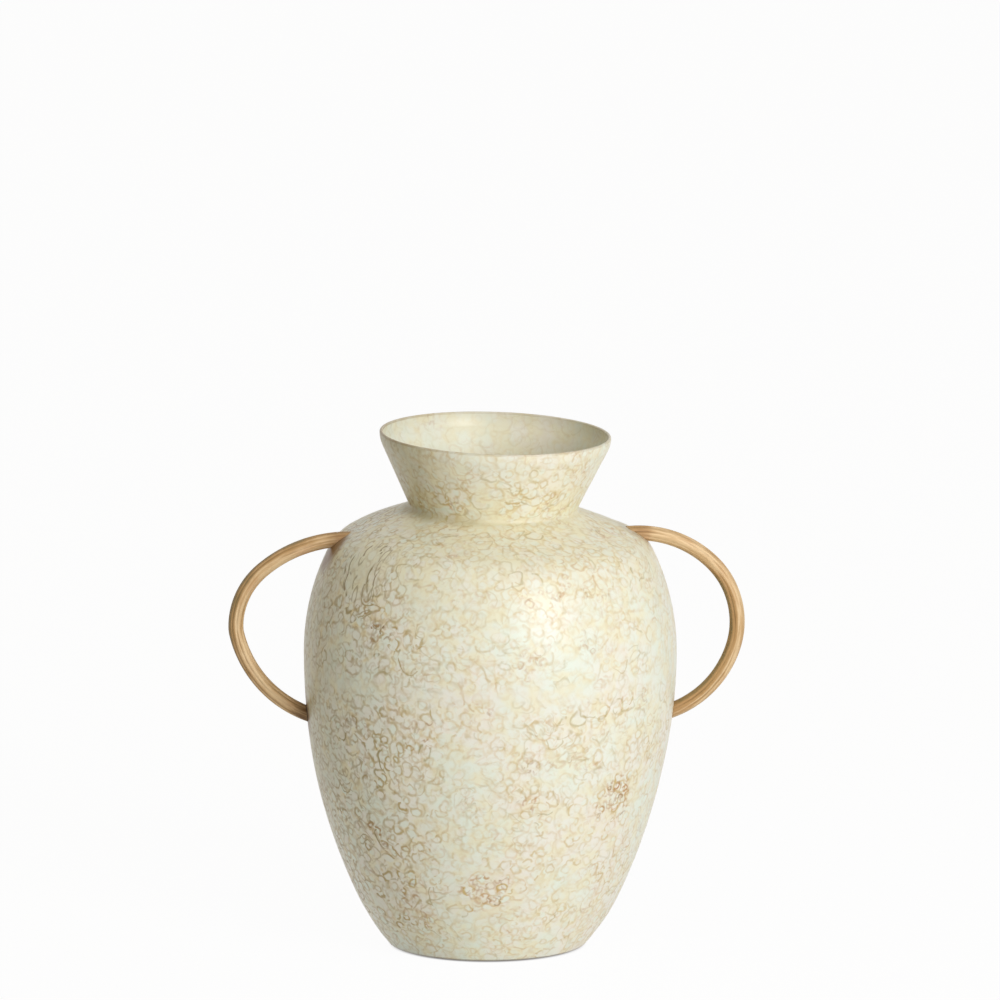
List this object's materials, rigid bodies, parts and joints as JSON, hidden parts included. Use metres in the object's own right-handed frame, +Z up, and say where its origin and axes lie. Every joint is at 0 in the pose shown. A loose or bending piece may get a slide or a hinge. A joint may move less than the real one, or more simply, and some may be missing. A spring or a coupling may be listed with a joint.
{
  "type": "urn vase",
  "caption": "Two-handled urn vase: spun sheet body on a narrow foot, flared neck collar, ribbed ear handles screwed on from inside; holds flower stems and water.",
  "frame": {"origin": "on the table under the centre of the foot", "axes": "+Z up along the axis of the body, X through the two handles, Y across"},
  "size_m": [0.3048, 0.2192, 0.3068],
  "materials": {
    "cream_lacquer": "satin",
    "base_coat": "matte",
    "antique_gold": "satin",
    "screw_steel": "satin",
    "seal_rubber": "matte",
    "pad_felt": "matte"
  },
  "bodies": {
    "root": {"neck_collar": "cream_lacquer", "shoulder_shell": "cream_lacquer", "bowl_shell": "cream_lacquer", "base_plate": "base_coat", "left_handle": "antique_gold", "right_handle": "antique_gold", "left_upper_screw": "screw_steel", "left_upper_washer": "screw_steel", "left_upper_seal": "seal_rubber", "left_lower_screw": "screw_steel", "left_lower_washer": "screw_steel", "left_lower_seal": "seal_rubber", "right_upper_screw": "screw_steel", "right_upper_washer": "screw_steel", "right_upper_seal": "seal_rubber", "right_lower_screw": "screw_steel", "right_lower_washer": "screw_steel", "right_lower_seal": "seal_rubber", "felt_pad_1": "pad_felt", "felt_pad_2": "pad_felt", "felt_pad_3": "pad_felt", "felt_pad_4": "pad_felt"}
  },
  "joints": []
}
